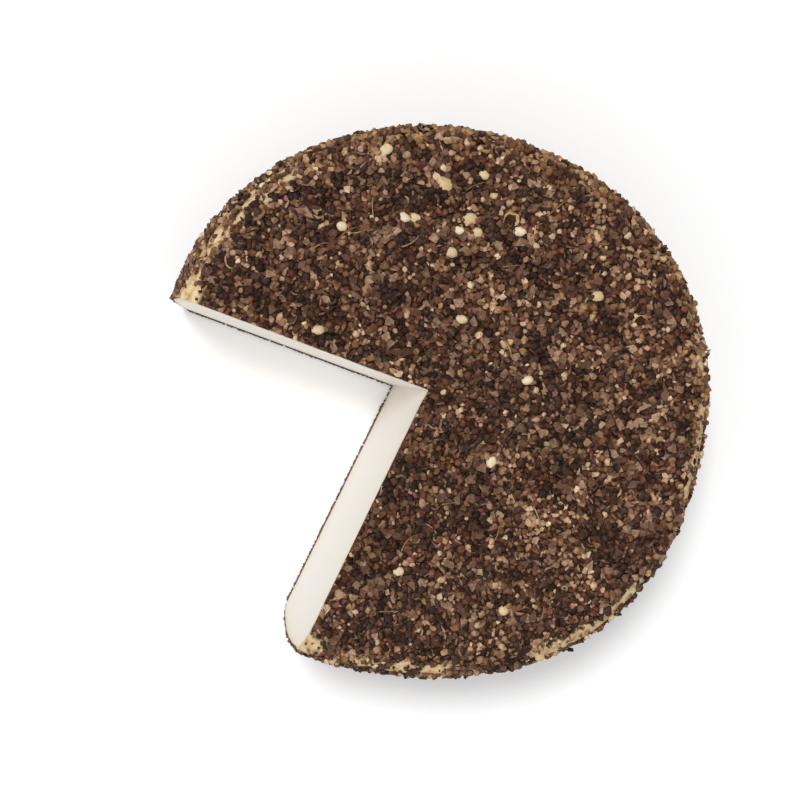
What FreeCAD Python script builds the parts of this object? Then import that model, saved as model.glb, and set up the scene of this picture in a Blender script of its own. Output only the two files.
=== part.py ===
"""A peppered aged cheese: a small round wheel with one wedge cut out of it.

The wheel is one solid. Its outline is the outside of the coat of cracked pepper, which is bedded in the rind.
The frame: millimetres, +Z up, the origin at the middle of the base's box, and the missing wedge towards -X and -Y.

How the wheel is built, in the order of the document's tree:
  1. ring sketches, one above the other, hold the uneven round outline of the cheese, and a loft joins them
     into a drum whose side swells to a belly and leans in towards the base
  2. a skin, slightly sunken and wavy as a pressed cheese settles, trims the drum's top
  3. a pocket takes out the wedge, along the two straight strokes of the knife
  4. two fillets round the shoulder and the foot
"""

import FreeCAD, Part
import math
import os

import Sketcher

DOCUMENT = "peppered_cheese"
PARTS_FOLDER = "parts"

# The driving dimensions: (alias, value, what it is). Lengths are in millimetres and angles in degrees.
DIMENSIONS = [
    ("wheel_radius", 74.0, "radius at the belly, the widest level, over the pepper"),
    ("wheel_height", 54.0, "height at the rim of the top, over the pepper"),
    ("belly_level", 37.0, "height of the belly above the base"),
    ("foot_lean", 5.6, "how far the side comes in from the belly down to the base"),
    ("top_lean", 1.6, "how far the side comes in from the belly up to the top"),
    ("shoulder_radius", 9.5, "rounding between the side and the top"),
    ("foot_rounding", 4.6, "rounding between the side and the base"),
    ("dish_depth", 1.3, "how far the middle of the top has sunk below its rim"),
    ("wave_height", 0.35, "how far the top's slow waves rise and fall"),
    ("wave_length", 62.0, "distance from one slow wave to the next"),
    ("oval_swell", 0.6, "outline: rise of the two long ends of the oval"),
    ("oval_bearing", 18.0, "outline: direction of the oval's long end"),
    ("pear_swell", 0.36, "outline: rise of the three soft sides that make it a little pear-shaped"),
    ("pear_bearing", 19.0, "outline: direction of the first soft side"),
    ("corner_swell", 1.0, "outline: rise of the four soft corners left by turning and stacking"),
    ("corner_bearing", 63.0, "outline: direction of the first soft corner"),
    ("lump_swell", 0.4, "outline: rise of the five small lumps"),
    ("lump_bearing", 34.0, "outline: direction of the first lump"),
    ("notch_angle", 83.7, "angle of the wedge that is cut out"),
    ("notch_bearing", 224.9, "direction of the middle of the missing wedge, seen from its tip"),
    ("tip_reach", 5.85, "distance of the wedge's tip from the wheel's axis"),
    ("tip_bearing", 159.2, "direction of the wedge's tip from the wheel's axis"),
    ("ring_count", 6, "number of ring sketches in the drum"),
    ("ring_points", 24, "points of each ring's outline, and of the top skin's grid"),
]


def make_sheet(document):
    """The spreadsheet that holds every driving dimension under its alias."""
    sheet = document.addObject("Spreadsheet::Sheet", "dimensions")
    for row, (alias, value, meaning) in enumerate(DIMENSIONS, start=1):
        sheet.set(f"A{row}", alias)
        sheet.set(f"B{row}", str(value))
        sheet.set(f"C{row}", meaning)
        sheet.setAlias(f"B{row}", alias)
    document.recompute()
    return sheet


def outline_swell(sheet, angle):
    """How far the uneven outline stands outside a true circle at an angle in radians."""
    swell = 0.0
    for lobes, name in ((2, "oval"), (3, "pear"), (4, "corner"), (5, "lump")):
        rise = getattr(sheet, f"{name}_swell")
        bearing = math.radians(getattr(sheet, f"{name}_bearing"))
        swell += rise * math.cos(lobes * (angle - bearing))
    return swell


def side_radius(sheet, level):
    """The side's mean radius at a level above the base: two curves that meet at the belly."""
    if level < sheet.belly_level:
        share = (sheet.belly_level - level) / sheet.belly_level
        return sheet.wheel_radius - sheet.foot_lean * share**2
    share = (level - sheet.belly_level) / (sheet.wheel_height - sheet.belly_level)
    return sheet.wheel_radius - sheet.top_lean * share**2


def make_ring(document, sheet, number, level):
    """A sketch of the cheese's uneven round outline at one level, as one closed spline."""
    mean_radius = side_radius(sheet, level)
    points = []
    for step in range(int(sheet.ring_points)):
        angle = 2 * math.pi * step / sheet.ring_points
        radius = mean_radius + outline_swell(sheet, angle)
        points.append(FreeCAD.Vector(radius * math.cos(angle), radius * math.sin(angle), 0))
    outline = Part.BSplineCurve()
    outline.interpolate(Points=points, PeriodicFlag=True)
    ring = document.addObject("Sketcher::SketchObject", f"ring_{number}")
    ring.addGeometry(outline, False)
    ring.Placement = FreeCAD.Placement(FreeCAD.Vector(0, 0, level), FreeCAD.Rotation())
    return ring


def make_drum(document, sheet):
    """The drum: a loft through the rings, from the base to a little above the top."""
    spare_height = sheet.dish_depth + 2 * sheet.wave_height
    drum_height = sheet.wheel_height + spare_height
    gaps = int(sheet.ring_count) - 1
    rings = [make_ring(document, sheet, k, drum_height * k / gaps) for k in range(gaps + 1)]
    drum = document.addObject("Part::Loft", "drum")
    drum.Sections = rings
    drum.Solid = True
    drum.Ruled = False
    return drum


def top_level(sheet, x, y):
    """Height of the top skin: a shallow dish with slow waves, never above the wheel's height at the rim."""
    from_axis = math.hypot(x, y) / sheet.wheel_radius
    dish = sheet.dish_depth * max(0.0, 1 - from_axis**2)
    turn = 2 * math.pi / sheet.wave_length
    wave = 0.5 * sheet.wave_height * (math.sin(turn * x + 0.6) * math.cos(turn * y - 0.4) - 1)
    return sheet.wheel_height - dish + wave


def make_top_trim(document, sheet):
    """The solid above the top skin, which is what the trim takes off the drum."""
    reach = 1.2 * sheet.wheel_radius
    steps = int(sheet.ring_points)
    stations = [reach * (2 * k / steps - 1) for k in range(steps + 1)]
    grid = [[FreeCAD.Vector(x, y, top_level(sheet, x, y)) for y in stations] for x in stations]
    surface = Part.BSplineSurface()
    surface.interpolate(grid)
    skin = document.addObject("Part::Feature", "top_skin")
    skin.Shape = surface.toShape()
    trim = document.addObject("Part::Extrusion", "top_trim")
    trim.Base = skin
    trim.DirMode = "Custom"
    trim.Dir = FreeCAD.Vector(0, 0, 1)
    trim.Solid = True
    trim.setExpression("LengthFwd", "dimensions.wheel_height")
    return trim


def rim_edges(sheet, shape, top):
    """Names of the edges round the rim of the top, or round the rim of the base."""
    names = []
    for number, edge in enumerate(shape.Edges, start=1):
        middle = edge.valueAt((edge.FirstParameter + edge.LastParameter) / 2)
        on_rim = math.hypot(middle.x, middle.y) > 0.8 * side_radius(sheet, middle.z)
        climb = abs(edge.Vertexes[0].Z - edge.Vertexes[-1].Z)
        at_level = middle.z > 0.9 * sheet.wheel_height if top else middle.z < 0.1 * sheet.wheel_height
        if on_rim and at_level and climb < 0.1 * sheet.wheel_height:
            names.append(f"Edge{number}")
    return names


def round_rim(document, sheet, body, name, radius_alias, top):
    """A fillet round the rim of the body's top or base."""
    below = body.Tip
    fillet = body.newObject("PartDesign::Fillet", name)
    fillet.Base = (below, rim_edges(sheet, below.Shape, top))
    fillet.setExpression("Radius", f"dimensions.{radius_alias}")
    fillet.Refine = False
    document.recompute()
    return fillet


def origin_plane(body, role):
    """One of the body's own origin planes."""
    return next(plane for plane in body.Origin.OriginFeatures if plane.Role == role)


def cut_wedge(document, sheet, body):
    """The pocket that takes out the wedge: a triangle from its tip to beyond the rim, through the whole height."""
    tip_x = sheet.tip_reach * math.cos(math.radians(sheet.tip_bearing))
    tip_y = sheet.tip_reach * math.sin(math.radians(sheet.tip_bearing))
    stroke = 2.2 * sheet.wheel_radius
    tip = FreeCAD.Vector(tip_x, tip_y, 0)
    bearings = [sheet.notch_bearing + side * sheet.notch_angle / 2 for side in (-1, 1)]
    ends = [
        tip + FreeCAD.Vector(math.cos(math.radians(b)), math.sin(math.radians(b)), 0) * stroke
        for b in bearings
    ]
    sketch = body.newObject("Sketcher::SketchObject", "wedge_outline")
    sketch.AttachmentSupport = [(origin_plane(body, "XY_Plane"), "")]
    sketch.MapMode = "FlatFace"
    sketch.addGeometry(Part.LineSegment(tip, ends[0]), False)
    sketch.addGeometry(Part.LineSegment(ends[0], ends[1]), False)
    sketch.addGeometry(Part.LineSegment(ends[1], tip), False)
    for first, second in ((0, 1), (1, 2), (2, 0)):
        sketch.addConstraint(Sketcher.Constraint("Coincident", first, 2, second, 1))
    named = [
        ("tip_x", Sketcher.Constraint("DistanceX", -1, 1, 0, 1, tip_x),
         "dimensions.tip_reach * cos(dimensions.tip_bearing * 1deg)"),
        ("tip_y", Sketcher.Constraint("DistanceY", -1, 1, 0, 1, tip_y),
         "dimensions.tip_reach * sin(dimensions.tip_bearing * 1deg)"),
        ("stroke", Sketcher.Constraint("Distance", 0, stroke), "dimensions.wheel_radius * 2.2"),
    ]
    for name, constraint, formula in named:
        number = sketch.addConstraint(constraint)
        sketch.renameConstraint(number, name)
        sketch.setExpression(f"Constraints.{name}", formula)
    sketch.addConstraint(Sketcher.Constraint("Equal", 0, 2))
    opening = sketch.addConstraint(
        Sketcher.Constraint("Angle", 0, 1, 2, 2, math.radians(sheet.notch_angle))
    )
    sketch.renameConstraint(opening, "opening")
    sketch.setExpression("Constraints.opening", "dimensions.notch_angle * 1deg")
    bearing = sketch.addConstraint(Sketcher.Constraint("Angle", 0, math.radians(bearings[0] - 360)))
    sketch.renameConstraint(bearing, "first_stroke")
    sketch.setExpression(
        "Constraints.first_stroke",
        "(dimensions.notch_bearing - dimensions.notch_angle / 2 - 360) * 1deg",
    )
    document.recompute()
    pocket = body.newObject("PartDesign::Pocket", "wedge_pocket")
    pocket.Profile = sketch
    pocket.Type = "ThroughAll"
    pocket.Midplane = True
    pocket.Refine = False  # the side is one spline closed on itself, and its seam edge has to stay
    document.recompute()
    return pocket


def make_wheel(document, sheet):
    """The cheese: the trimmed drum, rounded, with its wedge cut out."""
    trimmed = document.addObject("Part::Cut", "trimmed_drum")
    trimmed.Base = make_drum(document, sheet)
    trimmed.Tool = make_top_trim(document, sheet)
    document.recompute()
    body = document.addObject("PartDesign::Body", "cheese_wheel")
    body.Label = "cheese_wheel"
    body.BaseFeature = trimmed
    document.recompute()
    whole_volume = body.Shape.Volume
    cut_wedge(document, sheet, body)
    print(f"whole drum {whole_volume / 1000:.1f} cm3, with the wedge out {body.Shape.Volume / 1000:.1f} cm3")
    if body.Shape.Volume > 0.95 * whole_volume:
        raise RuntimeError("the wedge wasn't cut out")
    round_rim(document, sheet, body, "shoulder", "shoulder_radius", top=True)
    round_rim(document, sheet, body, "foot", "foot_rounding", top=False)
    return body


def centre_on_base(document, body):
    """Puts the origin at the middle of the base of the cheese's box."""
    box = body.Shape.optimalBoundingBox(False)
    shift = FreeCAD.Vector(-box.Center.x, -box.Center.y, -box.ZMin)
    body.Placement = FreeCAD.Placement(shift, FreeCAD.Rotation())
    document.recompute()


def check_document(document, bodies):
    """Stops if any object of the document failed, or if a sub-part isn't one sound closed solid."""
    for item in document.Objects:
        if {"Invalid", "Error"} & set(item.State):
            raise RuntimeError(f"{item.Name} failed: {item.State}")
    for body in bodies:
        shape = body.Shape
        if shape.isNull() or not shape.isValid() or len(shape.Solids) != 1:
            raise RuntimeError(f"{body.Label} isn't one valid solid")


def write_parts(bodies):
    """Writes each sub-part to its own STEP file, named for its label."""
    os.makedirs(PARTS_FOLDER, exist_ok=True)
    for body in bodies:
        body.Shape.exportStep(os.path.join(PARTS_FOLDER, body.Label + ".step"))
        box = body.Shape.optimalBoundingBox(False)
        print(f"{body.Label}: {box.XLength:.2f} x {box.YLength:.2f} x {box.ZLength:.2f} mm, "
              f"from ({box.XMin:.2f}, {box.YMin:.2f}, {box.ZMin:.2f}), {body.Shape.Volume / 1000:.2f} cm3")


def main():
    document = FreeCAD.newDocument(DOCUMENT)
    sheet = make_sheet(document)
    wheel = make_wheel(document, sheet)
    centre_on_base(document, wheel)
    check_document(document, [wheel])
    write_parts([wheel])


main()
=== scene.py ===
# %% [markdown]
# # A peppered aged cheese, with one wedge cut out
#
# This notebook dresses a small round cheese. Three things make its look: the smooth ivory paste that the
# knife laid bare, the thin tan rind, and a coat of coarsely cracked pepper pressed into that rind.
#
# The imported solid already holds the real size, so every place below is felt from it or worked out from a
# few sizes in millimetres. The solid's surface is the outside of the pepper, and the cheese itself lies a
# little deeper. Blender works in metres, so every size is written as a number of millimetres times MM.

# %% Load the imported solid
import math

import bmesh
import bpy
import numpy as np
from mathutils import Matrix, Quaternion, Vector, noise
from mathutils.bvhtree import BVHTree


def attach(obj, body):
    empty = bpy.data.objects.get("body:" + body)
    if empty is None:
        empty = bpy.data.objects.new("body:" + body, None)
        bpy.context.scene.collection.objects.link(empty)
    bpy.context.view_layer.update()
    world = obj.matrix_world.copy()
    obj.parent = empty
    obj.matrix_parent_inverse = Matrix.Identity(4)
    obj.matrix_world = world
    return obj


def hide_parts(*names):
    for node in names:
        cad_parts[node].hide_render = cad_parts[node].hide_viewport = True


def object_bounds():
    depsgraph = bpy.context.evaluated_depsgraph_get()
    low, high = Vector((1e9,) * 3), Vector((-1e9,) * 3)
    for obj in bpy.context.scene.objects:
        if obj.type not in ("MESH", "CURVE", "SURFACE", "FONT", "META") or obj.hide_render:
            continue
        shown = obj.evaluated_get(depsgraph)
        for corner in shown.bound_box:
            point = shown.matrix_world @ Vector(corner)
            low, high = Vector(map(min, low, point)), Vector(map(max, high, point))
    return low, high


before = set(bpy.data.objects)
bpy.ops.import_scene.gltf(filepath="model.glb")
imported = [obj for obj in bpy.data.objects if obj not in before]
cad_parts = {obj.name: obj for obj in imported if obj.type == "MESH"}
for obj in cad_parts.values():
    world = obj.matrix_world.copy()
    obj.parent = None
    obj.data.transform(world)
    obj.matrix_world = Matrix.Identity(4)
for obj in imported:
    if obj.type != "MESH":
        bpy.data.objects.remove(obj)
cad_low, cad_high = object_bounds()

MM = 0.001
NODE = "cheese_wheel"
print("solid's box, mm:", [round(side / MM, 1) for side in cad_high - cad_low])

# %% [markdown]
# Colours are written the way a paint chip is read, as sRGB hex values. Blender's sockets want linear light,
# so one function turns them. One more function adds a node with its settings, its links and, for a colour
# ramp, its stops, which keeps every material below short enough to read like a recipe.


# %% Helpers for colours and nodes
def linear(hex_code):
    """A colour for a socket, from an sRGB hex code such as 'd9b98a'."""
    channels = [int(hex_code[k:k + 2], 16) / 255 for k in (0, 2, 4)]
    turned = [c / 12.92 if c <= 0.04045 else ((c + 0.055) / 1.055) ** 2.4 for c in channels]
    return (*turned, 1.0)


def add_node(tree, kind, settings=None, inputs=None, stops=()):
    """Adds a node. An input takes a value or the socket that feeds it, a stop a place and a hex colour."""
    node = tree.nodes.new(kind)
    for name, value in (settings or {}).items():
        setattr(node, name, value)
    for name, value in (inputs or {}).items():
        if isinstance(value, bpy.types.NodeSocket):
            tree.links.new(value, node.inputs[name])
        else:
            node.inputs[name].default_value = value
    for k, (place, hex_code) in enumerate(stops):
        elements = node.color_ramp.elements
        element = elements[k] if k < len(elements) else elements.new(place)
        element.position = place
        element.color = linear(hex_code)
    return node


def new_material(name):
    """A material with a Principled shader. Returns it, its node tree and the shader."""
    material = bpy.data.materials.new(name)
    material.use_nodes = True
    return material, material.node_tree, material.node_tree.nodes["Principled BSDF"]


print("pale rind tan is", [round(channel, 3) for channel in linear("efdcae")], "in linear light")


# %% [markdown]
# ## Feeling the solid
#
# The cheese isn't a true cylinder: its outline is uneven, its side leans and its top has sunk a little. The
# core could be drawn again from numbers, but then it would drift from the solid whenever a size changed.
# Rays thrown at the solid give its wall and its top anywhere, and two rays into the open notch give the
# knife's two planes.


# %% Rays against the solid
packed_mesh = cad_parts[NODE].data
packed_points = np.array([vertex.co for vertex in packed_mesh.vertices])
packed_faces = [tuple(face.vertices) for face in packed_mesh.polygons]
solid_tree = BVHTree.FromPolygons(packed_points.tolist(), packed_faces)
height = cad_high.z
reach = 2 * cad_high.x


def wall_radius(bearing, level):
    """Distance from the axis to the solid's outside, or None above the rim."""
    out = Vector((math.cos(bearing), math.sin(bearing), 0))
    hit = solid_tree.ray_cast(out * reach + Vector((0, 0, level)), -out)[0]
    return math.hypot(hit.x, hit.y) if hit else None


notch_middle = Vector((0.55 * cad_low.x, 0.55 * cad_low.y, 0.5 * height))
knife_hits = [solid_tree.ray_cast(notch_middle, Vector(way))[:2] for way in ((0, 1, 0), (1, 0, 0))]
plane_points = np.array([point for point, normal in knife_hits])
plane_normals = np.array([normal for point, normal in knife_hits])
tip_x, tip_y = np.linalg.solve(plane_normals[:, :2], (plane_normals * plane_points).sum(axis=1))
tip = Vector((tip_x, tip_y, 0))
strokes = [Vector((-normal[1], normal[0], 0)) * side for normal, side in zip(plane_normals, (-1, 1))]
print("knife's tip, mm:", [round(c / MM, 2) for c in tip])
print("strokes run at", [round(math.degrees(math.atan2(way.y, way.x)), 1) for way in strokes], "degrees")


# %% Places beside the knife's two planes
BESIDE_CUT = 0.3 * MM


def past_planes(points):
    """How far points lie past each knife plane, one row for each plane. Past both is in the missing wedge."""
    return np.array([(points - at) @ normal for at, normal in zip(plane_points, plane_normals)])


def top_level(x, y):
    """Height of the solid's top over a point. Over the notch, the nearest point beside it is felt."""
    past = past_planes(np.array([[x, y, 0.0]]))[:, 0]
    if past.min() > 0:
        nearer = int(past.argmin())
        x, y = np.array([x, y]) - plane_normals[nearer, :2] * (past[nearer] + BESIDE_CUT)
    hit = solid_tree.ray_cast(Vector((x, y, 2 * height)), Vector((0, 0, -1)))[0]
    return hit.z if hit and hit.z > 0.5 * height else None


print("top over the axis, mm:", round(top_level(0.0, 0.0) / MM, 2))

# %% [markdown]
# The outside walls are kept apart from the two cut faces, because the rind follows only the outside. A
# point's distance to those walls tells how deep under the rind it lies, which the paste's colour needs
# later.

# %% The solid's outside without its cut faces
on_plane = np.abs(past_planes(packed_points)) < 0.02 * MM
outside_faces = [face for face in packed_faces if not on_plane[:, list(face)].all(axis=1).any()]
outside_tree = BVHTree.FromPolygons(packed_points.tolist(), outside_faces)
print(len(packed_faces) - len(outside_faces), "of", len(packed_faces), "faces are the knife's")

# %% [markdown]
# ## The core
#
# A pressed cheese is a turned form, so its section is spun round the axis. The section is felt at one
# bearing, moved in by the thickness of the coat, and cut into steps about as long as the pepper is wide. A
# subdivided cylinder would need its rim and foot rounded afterwards, and here they come with the section.
# The reference bearing lies across from the notch.

# %% Section of the core
COAT = 0.95 * MM  # how deep the cheese lies under the outside of the pepper
STEP = 1.25 * MM  # from one point of the section to the next
SIDE_FEEL = 0.25 * MM  # from one ray at the side to the next
TOP_FEEL = 0.5 * MM  # from one ray at the top to the next
REFERENCE = math.radians(45)  # the bearing of the section
BROAD = 0.8  # share of the wheel's half width past which a point is on the side


def felt_section():
    """The solid's outside at the reference bearing, from the middle of the base to the middle of the top."""
    across = Vector((math.cos(REFERENCE), math.sin(REFERENCE), 0))
    side = [(wall_radius(REFERENCE, level), level) for level in np.arange(0.15 * MM, height, SIDE_FEEL)]
    side = [point for point in side if point[0] and point[0] > BROAD * cad_high.x]
    top = []
    for radius in np.arange(side[-1][0] - 0.3 * MM, 0, -TOP_FEEL):
        top.append((radius, top_level(across.x * radius, across.y * radius)))
    return np.array([(0, 0), (0.5 * side[0][0], 0), *side, *top, (0, top[-1][1])])


def inset(section, thickness):
    """The section moved inwards by a thickness, square to itself."""
    along = np.gradient(section, axis=0)
    along /= np.linalg.norm(along, axis=1)[:, None]
    moved = section - thickness * np.stack([along[:, 1], -along[:, 0]], axis=1)
    moved[:, 0] = moved[:, 0].clip(0)
    return moved


def even_steps(section, step):
    """The same line with points an even step apart, and its two ends on the axis."""
    lengths = np.r_[0, np.cumsum(np.linalg.norm(np.diff(section, axis=0), axis=1))]
    places = np.linspace(0, lengths[-1], round(lengths[-1] / step) + 1)
    points = np.stack([np.interp(places, lengths, section[:, k]) for k in (0, 1)], axis=1)
    points[[0, -1], 0] = 0
    return points


outer_section = felt_section()
core_section = even_steps(inset(outer_section, COAT), STEP)
belly_level = outer_section[outer_section[:, 0].argmax(), 1]
print(len(core_section), "points in the section, belly at", round(belly_level / MM, 1), "mm")

# %% [markdown]
# Blender's operators may list the faces that they make in another order on each run. The shape is the same,
# but random spots are drawn from that list, so they would fall elsewhere each time. One function puts a
# shape's vertices and faces in the order of their places, and then the same seed always gives the same
# cheese.


# %% A fixed order for vertices and faces
def in_order(shape):
    """A copy of a shape, its vertices and faces in the order of their places. The shape is freed."""
    ordered = sorted(shape.verts, key=lambda vertex: tuple(vertex.co))
    ranks = {vertex: rank for rank, vertex in enumerate(ordered)}
    rings = []
    for face in shape.faces:
        ring = [ranks[vertex] for vertex in face.verts]
        first = ring.index(min(ring))
        rings.append((ring[first:] + ring[:first], face.material_index))
    copy = bmesh.new()
    corners = [copy.verts.new(vertex.co) for vertex in ordered]
    for ring, material_index in sorted(rings):
        copy.faces.new([corners[rank] for rank in ring]).material_index = material_index
    shape.free()
    return copy


# %% Spin the section
SPIN_STEPS = 330  # about 1.4 mm apart at the rim


def spun_core():
    """The whole round core, before it takes the solid's uneven outline."""
    shape = bmesh.new()
    points = [shape.verts.new((r * math.cos(REFERENCE), r * math.sin(REFERENCE), z)) for r, z in core_section]
    edges = [shape.edges.new(pair) for pair in zip(points, points[1:])]
    bmesh.ops.spin(shape, geom=points + edges, cent=(0, 0, 0), axis=(0, 0, 1), angle=2 * math.pi,
                   steps=SPIN_STEPS, use_merge=True, use_duplicate=False)
    bmesh.ops.remove_doubles(shape, verts=shape.verts, dist=0.01 * MM)
    bmesh.ops.recalc_face_normals(shape, faces=shape.faces)
    return in_order(shape)


core_shape = spun_core()
print(len(core_shape.verts), "vertices in the spun core")

# %% [markdown]
# The spun form is still a true round. Each vertex now moves out or in by as much as the solid's outline
# does at its bearing, and up or down with the solid's top. A little noise on top gives the rind its shallow
# dents, about a quarter of a millimetre deep and a few millimetres wide.


# %% Give the core the solid's uneven outline
CORNER_REACH = 7 * MM  # how far the broken-open corners reach from the cut
CORNER_DEPTH = 0.2 * MM  # how deep the bare rind lies there, where it has no coat
DENTS = ((7, 0.16), (2.2, 0.12))  # width and depth in mm, of the wide dents and of the narrow ones
TOP_SHARE = 0.9  # above this share of the height the section belongs to the top


def smooth_step(low, high, values):
    """0 below low, 1 above high and a smooth rise between."""
    share = ((values - low) / (high - low)).clip(0, 1)
    return share * share * (3 - 2 * share)


def corner_share(points, normals):
    """1 on the shoulder right beside the cut, fading out over a few millimetres."""
    beside = np.abs(past_planes(points)) + 1000 * (past_planes(points)[::-1] < -CORNER_REACH)
    share = 1 - smooth_step(0.45, 1.0, beside.min(axis=0) / CORNER_REACH)
    share *= np.linalg.norm(points[:, :2], axis=1) > 0.8 * cad_high.x
    return share * smooth_step(0.02, 0.3, normals[:, 2]) * (1 - smooth_step(0.93, 0.99, normals[:, 2]))


def outline_swell():
    """Bearings, and how far the outline stands out there compared with the reference bearing."""
    bearings = np.radians(np.arange(-180, 180, 2.0))
    radii = np.array([wall_radius(b, belly_level) for b in bearings])
    places = np.stack([radii * np.cos(bearings), radii * np.sin(bearings), 0 * radii], axis=1)
    whole = past_planes(places).min(axis=0) < -0.5 * MM
    return bearings[whole], radii[whole] - wall_radius(REFERENCE, belly_level)


swell_bearings, swells = outline_swell()
top_half = outer_section[outer_section[:, 1] > TOP_SHARE * height][::-1]


def settle(shape):
    """Moves the spun vertices onto the solid's own outline and top, and dents them slightly."""
    for vertex in shape.verts:
        x, y, z = vertex.co
        radius = math.hypot(x, y)
        swell = np.interp(math.atan2(y, x), swell_bearings, swells, period=2 * math.pi)
        share = min(1.0, radius / (BROAD * cad_high.x)) ** 2
        scale = 1 + share * swell / max(radius, MM)
        vertex.co.x, vertex.co.y = x * scale, y * scale
        lift = 0.0
        felt_level = top_level(vertex.co.x, vertex.co.y)
        if z > 0.5 * height and felt_level:
            expected = np.interp(radius, top_half[:, 0], top_half[:, 1])
            lift = (felt_level - expected) * min(1.0, (z / height - 0.5) / 0.3)
        vertex.co.z = z + (lift if abs(lift) < MM else 0.0)
    shape.normal_update()
    places = np.array([vertex.co for vertex in shape.verts])
    normals = np.array([vertex.normal for vertex in shape.verts])
    lifts = corner_share(places, normals) * (COAT - CORNER_DEPTH)
    for vertex, lift in zip(shape.verts, lifts):
        vertex.co += vertex.normal * lift
        dent = sum(noise.noise(vertex.co / (width * MM)) * depth * MM for width, depth in DENTS)
        vertex.co += vertex.normal * dent


settle(core_shape)
gaps = [outside_tree.find_nearest(vertex.co)[3] / MM for vertex in list(core_shape.verts)[::37]]
print("coat over the core, mm: middle", round(float(np.median(gaps)), 2), "least", round(min(gaps), 2))

# %% [markdown]
# ## The knife
#
# The wedge leaves through a boolean, as the knife did it: a tall prism whose two walls are the two strokes.
# The prism's walls are a fine grid with faint ripples across them, so the cut faces come out with that
# grid, and with the drag marks that a blade leaves in firm cheese. A flat cutter would leave two huge faces
# with no relief. The prism's third side runs far outside the wheel, so only the two strokes touch the
# cheese.

# %% The wedge that the knife took out
RIPPLE = 0.05 * MM  # height of the drag marks
KNIFE_STEP = 1.1 * MM  # width of the prism's grid
KNIFE_PAST = 4 * MM  # how far the prism stands out over the top and under the base
WIDE_MARK = (9 * MM, 40 * MM)  # a wide drag mark, along the stroke and down the face
FINE_MARK = (2.5 * MM, 14 * MM)
TIP_FADE = 6 * MM  # the marks fade out over this length towards the tip


def knife_prism():
    """A closed wedge-shaped prism, its two strokes divided finely."""
    low, high = -KNIFE_PAST, height + KNIFE_PAST
    reaches = [*np.arange(0, 1.15 * cad_high.x, KNIFE_STEP), 2 * cad_high.x]
    walk = [tip + strokes[0] * away for away in reaches[:0:-1]]
    walk += [tip + strokes[1] * away for away in reaches]
    shape = bmesh.new()
    loop = [shape.verts.new((point.x, point.y, low)) for point in walk]
    for before, after in zip(loop, loop[1:] + loop[:1]):
        shape.edges.new((before, after))
    raised = bmesh.ops.extrude_edge_only(shape, edges=shape.edges[:])["geom"]
    upper = [item for item in raised if isinstance(item, bmesh.types.BMVert)]
    bmesh.ops.translate(shape, verts=upper, vec=(0, 0, high - low))
    shape = in_order(shape)
    upright = [edge for edge in shape.edges if abs(edge.verts[0].co.z - edge.verts[1].co.z) > MM]
    bmesh.ops.subdivide_edges(shape, edges=upright, cuts=round((high - low) / KNIFE_STEP), use_grid_fill=True)
    rims = [edge for edge in shape.edges if edge.is_boundary]
    bmesh.ops.holes_fill(shape, edges=rims, sides=0)
    bmesh.ops.recalc_face_normals(shape, faces=shape.faces)
    return in_order(shape)


def ripple_walls(shape):
    """Drag marks: waves that run the way the blade went down, fading at the tip."""
    for vertex in shape.verts:
        from_tip = (vertex.co - Vector((tip.x, tip.y, vertex.co.z))).length
        for way, normal in zip(strokes, plane_normals):
            if abs((vertex.co - tip).dot(Vector(normal))) < 0.01 * MM and from_tip > MM:
                along = vertex.co.dot(way)
                wide = noise.noise(Vector((along / WIDE_MARK[0], vertex.co.z / WIDE_MARK[1], normal[0])))
                fine = noise.noise(Vector((along / FINE_MARK[0], vertex.co.z / FINE_MARK[1], normal[1])))
                vertex.co += Vector(normal) * (wide + 0.5 * fine) * RIPPLE * min(1.0, from_tip / TIP_FADE)


prism_shape = knife_prism()
ripple_walls(prism_shape)
print(len(prism_shape.faces), "faces in the knife's prism")


# %% Cut the core
def shape_to_object(shape, name, materials):
    """Turns a bmesh into an object at the origin, and frees the bmesh."""
    mesh = bpy.data.meshes.new(name)
    shape.to_mesh(mesh)
    shape.free()
    for material in materials:
        mesh.materials.append(material)
    piece = bpy.data.objects.new(name, mesh)
    bpy.context.scene.collection.objects.link(piece)
    return piece


# The rind: tan where bare, and under the coat dark with pepper stain and painted shade of the gaps between
# grains.
rind_material, rind_tree, rind_shader = new_material("natural_rind_pepper_stained_gap_shade")
paste_material, paste_tree, paste_shader = new_material("aged_cheese_paste")
RIND, PASTE = 0, 1
for face in prism_shape.faces:
    face.material_index = PASTE
both_materials = [rind_material, paste_material]
whole = shape_to_object(core_shape, "whole_core", both_materials)
cutter = shape_to_object(prism_shape, "knife_prism", both_materials)
cut = whole.modifiers.new("wedge", "BOOLEAN")
cut.operation = "DIFFERENCE"
cut.solver = "EXACT"
cut.object = cutter
bpy.context.view_layer.update()
cut_mesh = bpy.data.meshes.new_from_object(whole.evaluated_get(bpy.context.evaluated_depsgraph_get()))
bpy.data.objects.remove(whole)
bpy.data.objects.remove(cutter)
cut_shape = bmesh.new()
cut_shape.from_mesh(cut_mesh)
bpy.data.meshes.remove(cut_mesh)
core = shape_to_object(in_order(cut_shape), "cheese_core", both_materials)
cut_mesh = core.data
cut_faces = sum(face.material_index == PASTE for face in cut_mesh.polygons)
print(len(cut_mesh.polygons), "faces,", cut_faces, "cut")

# %% [markdown]
# ## Where the rind is bare
#
# Pepper rubs off where a cheese is handled: along the shoulder, in patches, and at the two corners that the
# knife broke open. One function says how bare a spot is, from 0 to 1. The rind's colour and the pepper both
# ask it, so the tan patches and the missing pepper fall on the same places.

# %% Bare patches of rind
RUBBED = [
    # bearing of the middle and half the width, in degrees, and how strongly it was rubbed
    (-31, 14, 1.2), (-76, 14, 0.6), (12, 12, 0.9), (36, 12, 0.5), (163, 22, 0.6), (80, 30, 0.3),
]
RUBBED_ELSEWHERE = 0.2
STREAK = 4 * MM  # width of the streaks that break the patches up


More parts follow.
